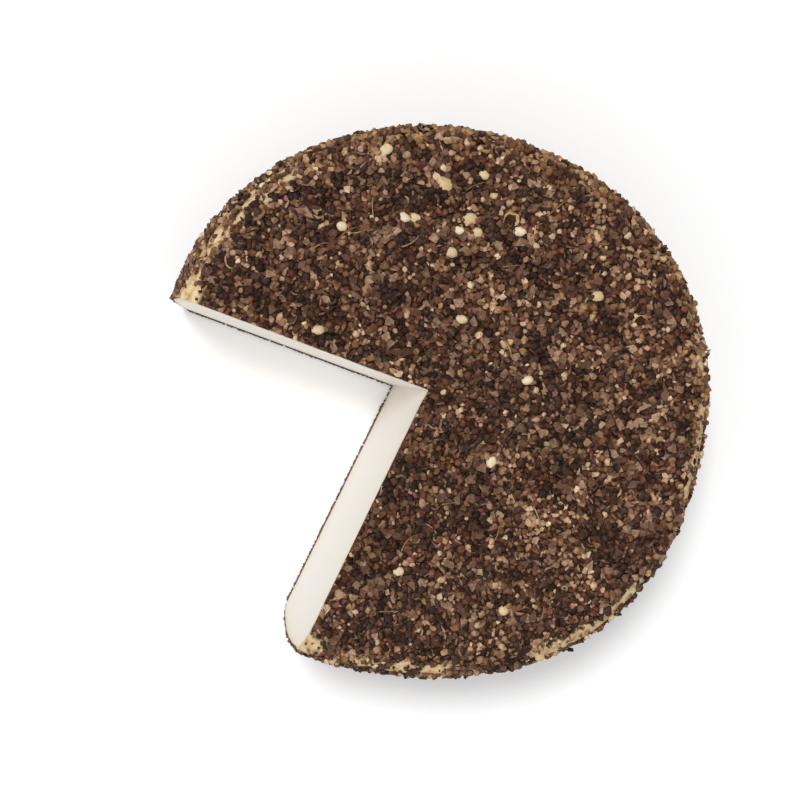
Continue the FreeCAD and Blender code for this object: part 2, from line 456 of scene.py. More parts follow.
def patchy(points, size, seed):
    """Slow random patches of about a size, one value from -1 to 1 for each point."""
    shift = Vector((seed * 7.3, seed * 3.1, seed * 5.7))
    return np.array([noise.noise(Vector(point) / size + shift) for point in points.tolist()])


def bareness(points, normals):
    """How bare of pepper the rind is at each point, from 0 to 1."""
    up = normals[:, 2]
    shoulder = smooth_step(0.10, 0.40, up) * (1 - smooth_step(0.76, 0.95, up))
    bearing = np.degrees(np.arctan2(points[:, 1], points[:, 0]))
    rubbed = np.full(len(points), RUBBED_ELSEWHERE)
    for middle, half_width, strength in RUBBED:
        apart = np.abs((bearing - middle + 180) % 360 - 180)
        rubbed = np.maximum(rubbed, strength * (1 - smooth_step(0.6, 1.3, apart / half_width)))
    streaks = patchy(points * (1, 1, 3), STREAK, 1)
    bare = np.maximum(shoulder * rubbed, corner_share(points, normals)) + 0.5 * streaks * (shoulder > 0.3)
    return smooth_step(0.32, 0.5, bare)


print(len(RUBBED), "rubbed stretches of the shoulder")

# %% [markdown]
# The core carries two attributes for its materials: how deep each vertex lies under the outside of the
# pepper, and how bare it is. Attributes stay with the mesh, so they export and bake where a position
# formula would have to be repeated in nodes.


# %% Attributes on the core
def mesh_array(items, name, width, kind=np.float32):
    """One property of every item of a mesh, as an array."""
    values = np.empty(len(items) * width, kind)
    items.foreach_get(name, values)
    return values.reshape(-1, width) if width > 1 else values


def write_attribute(mesh, name, domain, values):
    """Stores one number for each point or face of a mesh."""
    layer = mesh.attributes.new(name, "FLOAT", domain)
    layer.data.foreach_set("value", np.asarray(values, np.float32))


core_points = mesh_array(cut_mesh.vertices, "co", 3).astype(float)
core_normals = mesh_array(cut_mesh.vertices, "normal", 3).astype(float)
rind_depths = [outside_tree.find_nearest(point)[3] / MM for point in core_points.tolist()]
write_attribute(cut_mesh, "rind_depth", "POINT", rind_depths)
core_bare = bareness(core_points, core_normals)
write_attribute(cut_mesh, "bare", "POINT", core_bare)
paste_faces = mesh_array(cut_mesh.polygons, "material_index", 1, np.int32) == PASTE
cut_mesh.polygons.foreach_set("use_smooth", np.ones(len(paste_faces), bool))
cut_mesh.set_sharp_from_angle(angle=math.radians(50))
print("bare share of the core:", round(float(core_bare.mean()), 3))

# %% [markdown]
# ## Shapes of cracked pepper
#
# A peppercorn is a hard ball of about 5 mm: a wrinkled black husk round a pale floury core. A coarse mill
# breaks it along flat planes. The shapes are made the same way: a small ball is cut by a few random planes,
# and each cut is closed with a flat face. Those faces are marked as broken, so that one grain can be dark
# on its husk and paler where it broke. Ten shapes of each kind, turned and scaled, are enough for thousands
# of grains, and each has only a few dozen faces, because it is repeated so often.


# %% Tools that break a grain
SHAPES = 10
GRAIN_SHAPES = {}
chance = np.random.default_rng(11)


def close_cuts(shape, broken):
    """Fills the open edges with flat faces, and marks them as broken."""
    before = set(shape.faces)
    rims = [edge for edge in shape.edges if edge.is_boundary]
    bmesh.ops.holes_fill(shape, edges=rims, sides=0)
    for face in set(shape.faces) - before:
        face[broken] = 1.0


def random_way(draw):
    """A random direction."""
    way = Vector(draw.normal(size=3))
    return way.normalized()


def break_off(shape, broken, place, way):
    """Takes away everything past a plane, and closes the cut."""
    bmesh.ops.bisect_plane(shape, geom=shape.verts[:] + shape.edges[:] + shape.faces[:],
                           plane_co=place, plane_no=way, clear_outer=True)
    close_cuts(shape, broken)


def grain_arrays(shape, broken):
    """A grain's points, triangles and broken marks as arrays, scaled to a mean half width of 1."""
    bmesh.ops.triangulate(shape, faces=shape.faces)
    shape.verts.index_update()
    points = np.array([vertex.co for vertex in shape.verts])
    triangles = np.array([[vertex.index for vertex in face.verts] for face in shape.faces])
    marks = np.array([face[broken] for face in shape.faces])
    shape.free()
    points -= (points.max(axis=0) + points.min(axis=0)) / 2
    points /= np.mean(np.ptp(points, axis=0)) / 2
    return points, triangles, marks


def keep_shapes(kind, shapes):
    """Remembers the shapes of a kind of grain."""
    GRAIN_SHAPES[kind] = shapes
    print(kind, "triangles in a grain:", [len(triangles) for points, triangles, marks in shapes])


# %% [markdown]
# The husk is a thin skin, and it comes off in dished flakes, as the shell of a nut does. A flake is the cap
# of a ball, trimmed at its sides. A flat disc would catch the light all over at once, and a dished one has
# a lit side and a shaded one. Then come the chips: half of them are balls with a few sides broken off, and
# half are splinters, each the hull round a few random points. Splinters alone look like gravel, and balls
# alone look like seeds.


# %% Flakes of husk and cracked chips
def cracked_grain(draw, cuts=2, nearest=0.2, furthest=0.6, squash=0.8):
    """A lumpy ball with some sides broken off, between nearest and furthest of its radius from the middle."""
    shape = bmesh.new()
    bmesh.ops.create_icosphere(shape, subdivisions=1, radius=1)
    broken = shape.faces.layers.float.new("broken")
    for vertex in shape.verts:
        vertex.co *= 1 + 0.12 * draw.normal()
    for k in range(cuts):
        way = random_way(draw)
        break_off(shape, broken, way * draw.uniform(nearest, furthest), way)
    bmesh.ops.remove_doubles(shape, verts=shape.verts, dist=0.15)
    bmesh.ops.scale(shape, verts=shape.verts, vec=(1, draw.uniform(0.7, 1), squash))
    return grain_arrays(shape, broken)


def splinter(draw, corners=12, squash=0.8):
    """A splinter with flat sides, the hull round a few points. Its upper sides are husk, the rest broken."""
    shape = bmesh.new()
    broken = shape.faces.layers.float.new("broken")
    for k in range(corners):
        shape.verts.new(random_way(draw) * draw.uniform(0.8, 1.0))
    hull = bmesh.ops.convex_hull(shape, input=shape.verts)
    bmesh.ops.delete(shape, geom=list(set(hull["geom_interior"] + hull["geom_unused"])), context="VERTS")
    bmesh.ops.scale(shape, verts=shape.verts, vec=(1, draw.uniform(0.65, 1), squash))
    bmesh.ops.recalc_face_normals(shape, faces=shape.faces)
    for face in shape.faces:
        face[broken] = float(face.normal.z < 0.25)
    return grain_arrays(shape, broken)


def husk_flake(draw, cap=0.5, trims=3):
    """A dished flake of husk: the cap of a ball, trimmed at its sides, broken flat underneath."""
    shape = bmesh.new()
    bmesh.ops.create_icosphere(shape, subdivisions=2, radius=1)
    broken = shape.faces.layers.float.new("broken")
    break_off(shape, broken, Vector((0, 0, cap)), Vector((0, 0, -1)))
    for k in range(trims):
        turn = 2 * math.pi * (k + draw.uniform(-0.3, 0.3)) / trims
        way = Vector((math.cos(turn), math.sin(turn), draw.uniform(-0.2, 0.2))).normalized()
        break_off(shape, broken, way * draw.uniform(0.42, 0.62), way)
    bmesh.ops.remove_doubles(shape, verts=shape.verts, dist=0.12)
    for vertex in shape.verts:
        vertex.co *= 1 + 0.05 * draw.normal()
    return grain_arrays(shape, broken)


def chips(**how):
    """Ten chips of one kind, half of them cracked balls and half of them splinters."""
    return [cracked_grain(chance, **how) if k % 2 else splinter(chance) for k in range(SHAPES)]


keep_shapes("black_husks", [husk_flake(chance) for k in range(SHAPES)])
keep_shapes("dark_cracked", chips())
keep_shapes("brown_cracked", chips())
keep_shapes("red_brown_husks", [husk_flake(chance, cap=0.55) for k in range(SHAPES)])
keep_shapes("golden_skins", chips(cuts=3))
keep_shapes("pale_cores", chips(nearest=0.4))

# %% [markdown]
# A few corns escaped the mill. They are larger than the chips and pale, so they catch the eye, and they get
# more faces because there are only a few dozen of them. Some broke in half: a plane takes the top off, and
# the face that closes the cut is inset and sunk, which leaves the ring of husk and the pit that a dried
# peppercorn has.


# %% Whole and hollow corns
def whole_corn(draw, hollow=False):
    """A whole pale corn, slightly lopsided. A hollow one is cut across and shows the pit in its middle."""
    shape = bmesh.new()
    bmesh.ops.create_icosphere(shape, subdivisions=3, radius=1)
    broken = shape.faces.layers.float.new("broken")
    seed = Vector(draw.uniform(0, 50, size=3))
    for vertex in shape.verts:
        vertex.co *= 1 + 0.2 * noise.noise(vertex.co * 1.2 + seed)
    bmesh.ops.scale(shape, verts=shape.verts, vec=(1, draw.uniform(0.68, 0.95), 0.75))
    if hollow:
        break_off(shape, broken, Vector((0, 0, 0.3)), Vector((0, 0, 1)))
        lid = max(shape.faces, key=lambda face: face.calc_area())
        # Only the sunk pit keeps the broken mark and its darker colour: partly its own brown, partly painted
        # shade.
        ring = bmesh.ops.inset_individual(shape, faces=[lid], thickness=0.28)["faces"]
        for face in ring:
            face[broken] = 0.0
        bmesh.ops.translate(shape, verts=lid.verts, vec=(0, 0, -0.6))
    return grain_arrays(shape, broken)


keep_shapes("whole_corns", [whole_corn(chance) for k in range(SHAPES)])
keep_shapes("hollow_corns", [whole_corn(chance, hollow=True) for k in range(SHAPES)])

# %% [markdown]
# Between the chips lie ground pepper and bits of stalk. Real ground pepper goes down to a tenth of a
# millimetre. Here it is drawn a few times coarser, as it would not show otherwise. At this size a small box
# that is knocked out of shape is enough. A row of such crumbs, grey, also stands at the foot of the two cut
# faces, where it draws a dark line: partly the coat under the base, partly a painted contact shadow.


# %% Dust, stalks and crumbs
def speck(draw):
    """A speck of dust: a small box knocked out of shape."""
    shape = bmesh.new()
    bmesh.ops.create_cube(shape, size=1.5)
    broken = shape.faces.layers.float.new("broken")
    for vertex in shape.verts:
        vertex.co += Vector(draw.uniform(-0.35, 0.35, size=3))
    return grain_arrays(shape, broken)


def stalk(draw):
    """A straw-like splinter of stalk, bent a little, its thickness a twelfth of its length."""
    shape = bmesh.new()
    bmesh.ops.create_cone(shape, cap_ends=True, segments=4, radius1=0.09, radius2=0.05, depth=2)
    broken = shape.faces.layers.float.new("broken")
    bmesh.ops.rotate(shape, verts=shape.verts, matrix=Matrix.Rotation(math.pi / 2, 3, "Y"))
    sides = [edge for edge in shape.edges if abs(edge.verts[0].co.x - edge.verts[1].co.x) > 1]
    bmesh.ops.subdivide_edges(shape, edges=sides, cuts=4, use_grid_fill=True)
    bend = draw.uniform(-0.25, 0.25)
    for vertex in shape.verts:
        vertex.co.y += bend * vertex.co.x ** 2
    points, triangles, marks = grain_arrays(shape, broken)
    return points / points[:, 0].max(), triangles, marks


keep_shapes("pepper_dust", [speck(chance) for k in range(SHAPES)])
keep_shapes("stalks", [stalk(chance) for k in range(SHAPES)])
keep_shapes("foot_crumbs_painted_shadow", [speck(chance) for k in range(SHAPES)])

# %% [markdown]
# ## Spots for the grains
#
# Spots are drawn at random all over the core's outside, evenly by area. Each keeps away from the spots
# already taken, by a little over half of the two grains' half widths added up, so that grains overlap a
# little, as pressed-in pepper does, but don't pile up. The largest grains choose first and the finest fill
# what is left. Blender could scatter instances, but then each would be an object, and here the grains end
# up in one mesh.


# %% Draw spots on the core's outside
UNDERSIDE = -0.9  # a normal that points down more than this is the underside's


def core_spots(count, draw):
    """Random spots on the core's outside with their normals."""
    cut_mesh.calc_loop_triangles()
    corners = mesh_array(cut_mesh.loop_triangles, "vertices", 3, np.int32)
    of_face = mesh_array(cut_mesh.loop_triangles, "polygon_index", 1, np.int32)
    corners = corners[~paste_faces[of_face]]
    a, b, c = (core_points[corners[:, k]] for k in range(3))
    crossed = np.cross(b - a, c - a)
    areas = np.linalg.norm(crossed, axis=1) / 2
    chosen = draw.choice(len(corners), count, p=areas / areas.sum())
    u, v = draw.random((2, count))
    over = u + v > 1
    u[over], v[over] = 1 - u[over], 1 - v[over]
    points = a[chosen] + u[:, None] * (b - a)[chosen] + v[:, None] * (c - a)[chosen]
    return points, crossed[chosen] / (2 * areas[chosen, None])


# %% Keep the spots apart
class Crowd:
    """Remembers the spots already taken, in a grid of cells, and says whether a new one has room."""

    def __init__(self, cell):
        self.cell = cell
        self.cells = {}

    def room_for(self, point, radius, closeness):
        """True if no taken spot is nearer than closeness times the two radii."""
        x, y, z = (int(c // self.cell) for c in point)
        for i in (x - 1, x, x + 1):
            for j in (y - 1, y, y + 1):
                for k in (z - 1, z, z + 1):
                    for px, py, pz, pr in self.cells.get((i, j, k), ()):
                        apart = (px - point[0]) ** 2 + (py - point[1]) ** 2 + (pz - point[2]) ** 2
                        if apart < (closeness * (pr + radius)) ** 2:
                            return False
        return True

    def take(self, point, radius):
        """Marks a spot as taken."""
        key = tuple(int(c // self.cell) for c in point)
        self.cells.setdefault(key, []).append((*point, radius))


# %% [markdown]
# What lies where follows the cheese. One side of the rim is golden, with thin tan skins and paler pieces,
# and the other is darker and finer. The mix also changes in patches, some coarse and pale, some fine and
# dark, some warm, because pepper never falls evenly.

# %% Share out the kinds
GOLDEN_BEARING = math.radians(80)
CHIP_WIDTHS = {"black_husks": 1.75, "dark_cracked": 1.5, "brown_cracked": 1.45, "red_brown_husks": 1.5,
               "golden_skins": 1.55, "pale_cores": 1.35}  # mean widths in mm
CHIPS = list(CHIP_WIDTHS)


def goldenness(points):
    """From 0 on the dark side of the wheel to 1 at the golden rim."""
    toward = points[:, 0] * math.cos(GOLDEN_BEARING) + points[:, 1] * math.sin(GOLDEN_BEARING)
    return (0.5 + 0.5 * toward / cad_high.x).clip(0, 1)


def chip_shares(points, normals):
    """The chance of each kind of chip at each point, one column for each kind, in the order of CHIPS."""
    golden = goldenness(points)
    rim = smooth_step(0.45, 0.75, golden) * smooth_step(0.01, 0.12, 1 - normals[:, 2])
    coarse = patchy(points, 9 * MM, 2)
    fine = patchy(points, 3.5 * MM, 3)
    warm = patchy(points, 5 * MM, 6)
    shares = np.stack([
        0.36 - 0.20 * golden - 0.60 * coarse - 0.30 * fine - 0.12 * rim,
        0.28 - 0.06 * golden - 0.15 * coarse - 0.25 * fine,
        0.21 + 0.05 * golden + 0.25 * coarse + 0.10 * fine,
        0.10 - 0.02 * golden + 0.10 * fine,
        0.02 + 0.03 * golden + 0.40 * rim + 0.18 * warm,
        0.06 + 0.07 * golden + 0.20 * coarse + 0.22 * fine,
    ], axis=1).clip(0.005)
    return shares / shares.sum(axis=1, keepdims=True)


middle_shares = chip_shares(np.array([[0, 0, height]]), np.array([[0, 0, 1]]))[0]
print("shares over the axis:", dict(zip(CHIPS, middle_shares.round(2).tolist())))

# %% [markdown]
# The knife left no grain standing out over its cut, and it ran on a little past the tip, where it parted
# the pepper in a short dark line. Where the rind is bare hardly a chip is left, and those are small. Under
# the cheese they lie further apart, pressed flat by its weight.

# %% Scatter the chips
CLOSENESS = 0.6  # least distance between two spots, as a share of their radii added up
CLOSENESS_UNDER = 1.35  # the underside's, compared with that
OVERRUN, OVERRUN_HALF = 8 * MM, 0.75 * MM  # length and half the width of the line past the tip
SPREAD = 0.24  # of the chips' sizes: about one in three is a quarter or more off the mean
LEAST_CHIP, LARGEST_CHIP = 0.38 * MM, 1.1 * MM  # half widths


def off_the_overrun(points):
    """False on the short dark line where the knife ran on past the tip."""
    onward = -np.array(strokes[0])
    along = (points - np.array(tip)) @ onward
    aside = np.abs((points - np.array(tip)) @ plane_normals[0])
    return ~((along > 0) & (along < OVERRUN) & (aside < OVERRUN_HALF) & (points[:, 2] > 0.5 * height))


def scatter_chips(draw, tries, widest_first):
    """Places chips of every kind. Returns, for each kind, its places, normals and radii."""
    points, normals = core_spots(tries, draw)
    up_to = chip_shares(points, normals).cumsum(axis=1)
    kinds = (draw.random((tries, 1)) > up_to).sum(axis=1).clip(0, len(CHIPS) - 1)
    means = np.array([CHIP_WIDTHS[kind] for kind in CHIPS])[kinds] * MM / 2
    bare = bareness(points, normals)
    radii = means * draw.lognormal(0, SPREAD, tries) * (0.88 + 0.2 * goldenness(points)) * (1 - 0.25 * bare)
    radii = radii.clip(LEAST_CHIP, LARGEST_CHIP)
    under = normals[:, 2] < UNDERSIDE
    wanted = (draw.random(tries) > 0.97 * bare) & off_the_overrun(points)
    wanted &= -past_planes(points).min(axis=0) > 0.35 * radii
    order = np.argsort(-radii if widest_first else draw.random(tries))
    kept = {kind: [] for kind in CHIPS}
    for spot in order[wanted[order]]:
        point, radius = tuple(points[spot]), radii[spot]
        if crowd.room_for(point, radius, CLOSENESS * (CLOSENESS_UNDER if under[spot] else 1.0)):
            crowd.take(point, radius)
            kept[CHIPS[kinds[spot]]].append(spot)
    return {kind: (points[spots], normals[spots], radii[spots]) for kind, spots in kept.items()}


# %% Place the corns first, then the chips
CORN_SPOTS = [
    # kind, bearing in degrees, distance from the axis and half width in mm
    ("whole_corns", 113, 57.2, 2.2), ("whole_corns", 126, 67.0, 1.5), ("whole_corns", 103, 60.6, 1.3),
    ("whole_corns", 125, 49.6, 1.4), ("whole_corns", 122, 49.0, 1.3), ("whole_corns", 105, 48.8, 1.8),
    ("whole_corns", 108, 45.7, 1.2), ("whole_corns", 102, 45.8, 1.3), ("hollow_corns", 93, 51.6, 1.9),
    ("whole_corns", 89, 49.6, 1.6), ("whole_corns", 110, 39.8, 1.5), ("whole_corns", 101, 23.1, 1.4),
    ("whole_corns", 172, 37.9, 1.5), ("hollow_corns", 169, 66.0, 1.8), ("whole_corns", 58, 50.1, 1.6),
    ("hollow_corns", 46, 57.0, 1.8), ("whole_corns", 40, 23.4, 1.4), ("whole_corns", -82, 44.0, 1.3),
    ("whole_corns", -25, 19.3, 1.4), ("whole_corns", -50, 55.5, 1.3), ("whole_corns", 143, 53.1, 1.3),
]
STRAY_CORNS = 80  # tries all over, of which the sides and the underside keep theirs


def placed_corns():
    """The corns that catch the eye on top, and strays of the same kinds everywhere else."""
    kept = {"whole_corns": [], "hollow_corns": []}
    for kind, bearing, distance, radius in CORN_SPOTS:
        turn = math.radians(bearing)
        above = Vector((math.cos(turn), math.sin(turn), 0)) * distance * MM + Vector((0, 0, 1.2 * height))
        point, normal = core_tree.ray_cast(above, Vector((0, 0, -1)))[:2]
        kept[kind].append((np.array(point), np.array(normal), radius * MM))
    points, normals = core_spots(STRAY_CORNS, chance)
    inside = (-past_planes(points).min(axis=0) > 2.5 * MM) & (normals[:, 2] < 0.5)
    for point, normal in zip(points[inside], normals[inside]):
        kind = "whole_corns" if chance.random() < 0.75 else "hollow_corns"
        kept[kind].append((point, normal, chance.uniform(0.95, 1.4) * MM))
    for spots in kept.values():
        for point, normal, radius in spots:
            crowd.take(tuple(point), radius)
    return {kind: tuple(np.array(column) for column in zip(*spots)) for kind, spots in kept.items()}


def add_placed(kind, points, normals, radii):
    """Adds spots to those that a kind of grain has already."""
    new = (points, normals, radii)
    placed[kind] = tuple(np.concatenate(pair) for pair in zip(placed[kind], new)) if kind in placed else new


core_tree = BVHTree.FromPolygons(core_points.tolist(), [tuple(face.vertices) for face in cut_mesh.polygons])
crowd = Crowd(cell=2.0 * MM)
placed = placed_corns()
WIDEST_FIRST_TRIES, FILLING_TRIES = 70000, 110000
for tries, widest_first in ((WIDEST_FIRST_TRIES, True), (FILLING_TRIES, False)):
    for kind, spots in scatter_chips(chance, tries, widest_first).items():
        add_placed(kind, *spots)
for kind, (points, normals, radii) in placed.items():
    print(kind, len(points), "grains, mean width", round(float(radii.mean()) * 2 / MM, 2), "mm")

# %% [markdown]
# The knife also cut the coat itself, so each cut face is framed by a thin dark seam: under the base, up the
# side and over the shoulder. The seam's grains are laid along the edge where the core's rind meets its cut
# face, just behind the knife's plane. At the foot a row of grey crumbs stands a little before it and draws a
# dark line: partly the coat under the base, partly a painted contact shadow.


# %% The seam of the cut coat, dust in the gaps, and a few stalks
SEAM_STEP, FOOT_STEP = 0.55 * MM, 0.28 * MM  # from one grain to the next
SEAM_BEHIND = 0.45 * MM
DUST, STALKS = 13000, 70


def spots_on_cut_rim(step):
    """Spots about a step apart where the rind meets the cut, with the rind's and the cut's normals there."""
    shape = bmesh.new()
    shape.from_mesh(cut_mesh)
    spots = []
    for edge in shape.edges:
        if len({face.material_index for face in edge.link_faces}) == 2:
            rind_face = next(face for face in edge.link_faces if face.material_index == RIND)
            cut_face = next(face for face in edge.link_faces if face.material_index == PASTE)
            for k in range(int(edge.calc_length() / step + chance.random())):
                spot = edge.verts[0].co.lerp(edge.verts[1].co, chance.random())
                spots.append((*spot, *rind_face.normal, *cut_face.normal))
    shape.free()
    spots = np.array(spots)
    return spots[:, :3], spots[:, 3:6], spots[:, 6:]


def seam_spots():
    """Grains of the cut coat, just behind the knife's plane."""
    points, normals, cut_normals = spots_on_cut_rim(SEAM_STEP)
    bare = bareness(points, normals) > 0.5
    on_top = normals[:, 2] > 0.9
    kept = ~bare & (~on_top | (chance.random(len(points)) < 0.5))
    points = points - cut_normals * SEAM_BEHIND
    return points[kept], normals[kept], chance.uniform(0.4, 0.62, kept.sum()) * MM


def foot_spots():
    """Grey crumbs before the foot of both cut faces: partly the base coat, partly painted contact shadow."""
    points, normals, cut_normals = spots_on_cut_rim(FOOT_STEP)
    kept = normals[:, 2] < UNDERSIDE
    outward = chance.uniform(0.0, 0.2, len(points))[:, None] * MM
    points = (points + cut_normals * outward)[kept]
    points[:, 2] = chance.uniform(0.35, 0.9, len(points)) * MM
    return points, -normals[kept], chance.uniform(0.22, 0.36, len(points)) * MM


def plain_scatter(count, low, high):
    """Spots with random radii between two sizes, off the bare rind and clear of the cut."""
    points, normals = core_spots(count, chance)
    radii = chance.uniform(low, high, count) * MM
    wanted = -past_planes(points).min(axis=0) > 0.8 * radii
    wanted &= chance.random(count) > 0.85 * bareness(points, normals)
    return points[wanted], normals[wanted], radii[wanted]


seam = seam_spots()
add_placed("dark_cracked", *seam)
add_placed("pepper_dust", *plain_scatter(DUST, 0.2, 0.5))
add_placed("stalks", *plain_scatter(STALKS, 1.6, 3.2))
# The foot crumbs draw a grey line along the foot of the cut faces: partly the base coat, partly painted
# contact shadow.
foot = foot_spots()
add_placed("foot_crumbs_painted_shadow", *foot)
print(len(seam[0]), "grains in the seam,", len(foot[0]), "crumbs at the foot")

# %% [markdown]
# ## Joining the grains
#
# Thousands of separate objects would be slow and would not export. Each kind becomes one mesh: the shapes'
# arrays are turned, scaled and moved for all grains at once, and stacked. Two attributes ride along, a
# random tone for each grain and the mark of the broken faces, so that one material gives every grain its
# own colour.
#
# Flakes and corns lie flat on the rind and chunks lie any way, so each kind has its own lean, in which 0 is
# flat. Its lift is how far the middle of a grain stands off the rind, on average, as a share of its half
# width.

# %% Turn and place grains
LEAN = {"black_husks": 0.5, "red_brown_husks": 0.6, "stalks": 0.12, "hollow_corns": 0.2, "whole_corns": 0.15}
LEAN_OF_CHUNKS = 1.2
LIFT = {"black_husks": 0.4, "dark_cracked": 0.45, "brown_cracked": 0.45, "red_brown_husks": 0.4,
        "golden_skins": 0.5, "pale_cores": 0.5, "whole_corns": 0.4, "hollow_corns": 0.25,
        "pepper_dust": 0.8, "stalks": 0.4, "foot_crumbs_painted_shadow": 0.0}
HUSK_UP = 0.65  # share of the flakes that lie with their dome up
CORNS_LIE = np.array((-0.4, 2.5, 0.0))  # the whole corns' long sides tend to run square to this


def turned_bases(kind, normals, draw):
    """A rotation matrix for each grain: its own z near the normal for flakes, and any way for chunks."""
    count = len(normals)
    own_up = normals + LEAN.get(kind, LEAN_OF_CHUNKS) * draw.normal(size=(count, 3))
    own_up /= np.linalg.norm(own_up, axis=1)[:, None]
    if kind in ("black_husks", "red_brown_husks"):
        own_up *= np.where(draw.random(count) < HUSK_UP, 1, -1)[:, None]
    side = np.cross(own_up, draw.normal(size=(count, 3)) + (CORNS_LIE if kind == "whole_corns" else 0))
    side /= np.linalg.norm(side, axis=1)[:, None]
    return np.stack([side, np.cross(own_up, side), own_up], axis=2)


# %% Keep grains in the solid's box and behind the knife
CLEAR = 0.02 * MM


def kept_in_box(corners):
    """Moves grains that stick out of the solid's box back into it. One row of corners for each grain."""
    over = (corners.max(axis=1) - np.array(cad_high) + CLEAR).clip(0)
    under = (np.array(cad_low) + CLEAR - corners.min(axis=1)).clip(0)
    return corners + (under - over)[:, None, :]


def trimmed_at_cut(points, proud):
    """Presses back what stands prouder of the cut faces than a given length."""
    past = past_planes(points) - proud
    for row, normal in enumerate(plane_normals):
        over = (past.min(axis=0) > 0) & (past.argmin(axis=0) == row)
        points[over] -= past[row][over][:, None] * normal
    return points


# %% Join the grains of a kind
SHAGGY, SHAGGY_LIFT = 0.1, 2.4  # share of the black husks that stand up, and how much further
FACET = 0.08  # change of tone from face to face
PRESSED, PRESSED_UNDER = 0.92, 0.55  # height that is left to a grain, on top and under the cheese
CRUMBS_PROUD, OTHERS_PROUD = 0.9 * MM, -0.05 * MM  # how far grains may stand out over the cut faces


def join_grains(kind, material, draw):
    """One mesh of all the grains of a kind, with each grain's tone and its broken faces as attributes."""
    places, normals, radii = placed[kind]
    bases = turned_bases(kind, normals, draw)
    picks = draw.integers(0, SHAPES, len(places))
    tones = (draw.random(len(places)) + 0.5 * patchy(places, 8 * MM, 4)).clip(0, 1)
    squash = np.where(normals[:, 2] < UNDERSIDE, PRESSED_UNDER, PRESSED)
    lift = LIFT[kind] * radii * draw.uniform(0.2, 1.7, len(places))
    if kind == "black_husks":
        lift *= np.where(draw.random(len(places)) < SHAGGY, SHAGGY_LIFT, 1)
    lifted = places + normals * lift[:, None]
    all_points, all_triangles, all_marks, all_tones = [], [], [], []
    first = 0
    for shape_number, (points, triangles, marks) in enumerate(GRAIN_SHAPES[kind]):
        of_shape = np.flatnonzero(picks == shape_number)
        turned = np.einsum("gij,pj->gpi", bases[of_shape], points) * radii[of_shape, None, None]
        outward = np.einsum("gpi,gi->gp", turned, normals[of_shape])
        turned -= outward[:, :, None] * normals[of_shape, None, :] * (1 - squash[of_shape, None, None])
        turned = kept_in_box(turned + lifted[of_shape, None, :])
        all_points.append(turned.reshape(-1, 3))
        steps = first + len(points) * np.arange(len(of_shape))
        all_triangles.append((triangles[None] + steps[:, None, None]).reshape(-1, 3))
        all_marks.append(np.tile(marks, len(of_shape)))
        of_faces = FACET * draw.normal(size=(len(of_shape), len(triangles)))
        all_tones.append((tones[of_shape, None] + of_faces).clip(0, 1).ravel())
        first += turned.shape[0] * turned.shape[1]
    proud = CRUMBS_PROUD if kind == "foot_crumbs_painted_shadow" else OTHERS_PROUD
    points = trimmed_at_cut(np.concatenate(all_points), proud)
    marks = np.concatenate(all_marks)
    mesh = bpy.data.meshes.new(kind)
    mesh.from_pydata(points, [], np.concatenate(all_triangles))
    write_attribute(mesh, "tone", "FACE", np.concatenate(all_tones))
    write_attribute(mesh, "broken", "FACE", marks)
    mesh.polygons.foreach_set("use_smooth", marks < 0.5)
    mesh.materials.append(material)
    piece = bpy.data.objects.new(kind, mesh)
    bpy.context.scene.collection.objects.link(piece)
    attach(piece, "root")
    print(kind, len(places), "grains,", len(mesh.polygons), "triangles")
    return piece


# %% [markdown]
# ## Materials
#
# Cracked pepper is matt and dusty: a rough husk, fine wrinkles about a third of a millimetre apart, and a
# floury core. Its colour changes from grain to grain more than within one, so a ramp turns each grain's
# tone into one of a few browns, and a second ramp does the same for the faces where it broke. Soft blotches
# about a millimetre wide break up the larger grains. A specular level under the usual 0.5 keeps the dust
# matt.


# %% Cracked pepper
DUSTY = 0.25  # specular level
BLOTCH_MM = 0.9


def pepper_material(name, husk, inside, wrinkle_mm=0.35, roughness=0.8, bump_mm=0.06, blotchy=0.32):
    """Peppercorn husk and core. Husk and inside list hex colours, from the darkest grains to the palest."""
    material, tree, shader = new_material(name)
    tone = add_node(tree, "ShaderNodeAttribute", {"attribute_name": "tone"}).outputs["Fac"]
    broken = add_node(tree, "ShaderNodeAttribute", {"attribute_name": "broken"}).outputs["Fac"]
    place = add_node(tree, "ShaderNodeTexCoord").outputs["Object"]
    ramps = []
    for colours in (husk, inside):
        stops = [(k / (len(colours) - 1), colour) for k, colour in enumerate(colours)]
        ramp = add_node(tree, "ShaderNodeValToRGB", inputs={"Fac": tone}, stops=stops)
        ramps.append(ramp.outputs["Color"])
    both = add_node(tree, "ShaderNodeMix", {"data_type": "RGBA"}, {0: broken, 6: ramps[0], 7: ramps[1]})
    wrinkles = add_node(tree, "ShaderNodeTexNoise", inputs={
        "Vector": place, "Scale": 1 / (wrinkle_mm * MM), "Detail": 3.0, "Roughness": 0.6})
    blotches = add_node(tree, "ShaderNodeTexNoise", inputs={
        "Vector": place, "Scale": 1 / (BLOTCH_MM * MM), "Detail": 1.0, "Roughness": 0.5})
    shade = add_node(tree, "ShaderNodeMapRange", inputs={
        "Value": blotches.outputs["Fac"], "From Min": 0.3, "From Max": 0.7,
        "To Min": 1 - blotchy, "To Max": 1 + blotchy})
    mottled = add_node(tree, "ShaderNodeMix", {"data_type": "RGBA", "blend_type": "MULTIPLY"},
                       {0: 1.0, 6: both.outputs[2], 7: shade.outputs["Result"]})
    tree.links.new(mottled.outputs[2], shader.inputs["Base Color"])
    shader.inputs["Roughness"].default_value = roughness
    shader.inputs["Specular IOR Level"].default_value = DUSTY
    bump = add_node(tree, "ShaderNodeBump", inputs={
        "Height": wrinkles.outputs["Fac"], "Distance": bump_mm * MM, "Strength": 0.8})
    tree.links.new(bump.outputs["Normal"], shader.inputs["Normal"])
    return material


